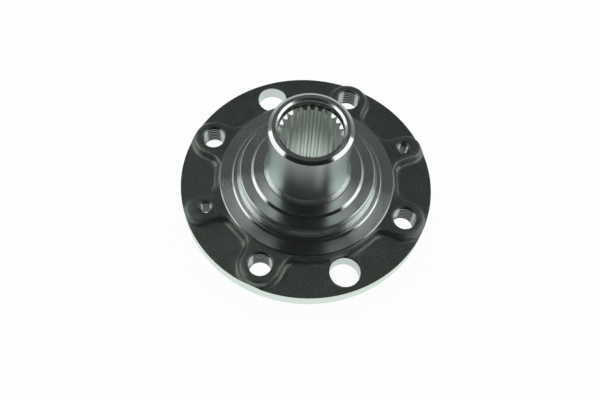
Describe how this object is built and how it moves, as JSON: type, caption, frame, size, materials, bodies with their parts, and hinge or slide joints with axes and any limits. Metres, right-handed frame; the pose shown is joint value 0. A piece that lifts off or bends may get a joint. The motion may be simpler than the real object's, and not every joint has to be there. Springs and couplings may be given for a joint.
{
  "type": "wheel hub",
  "caption": "One-piece driven wheel hub with a lobed round flange, tapped wheel bolt holes, stepped shoulders, a bearing nose and an internally splined bore.",
  "frame": {"origin": "on the hub's axis, in the plane of the outboard face that the brake disc bolts against", "axes": "+Z along the hub axis towards the bearing nose, +X through one of the two disc screw holes"},
  "size_m": [0.1196, 0.1196, 0.0654],
  "materials": {
    "forged_steel": "forged skin on the flange, bright turned rim, shoulders, nose and bore"
  },
  "bodies": {
    "root": {"hub_flange": "forged_steel"}
  },
  "joints": []
}
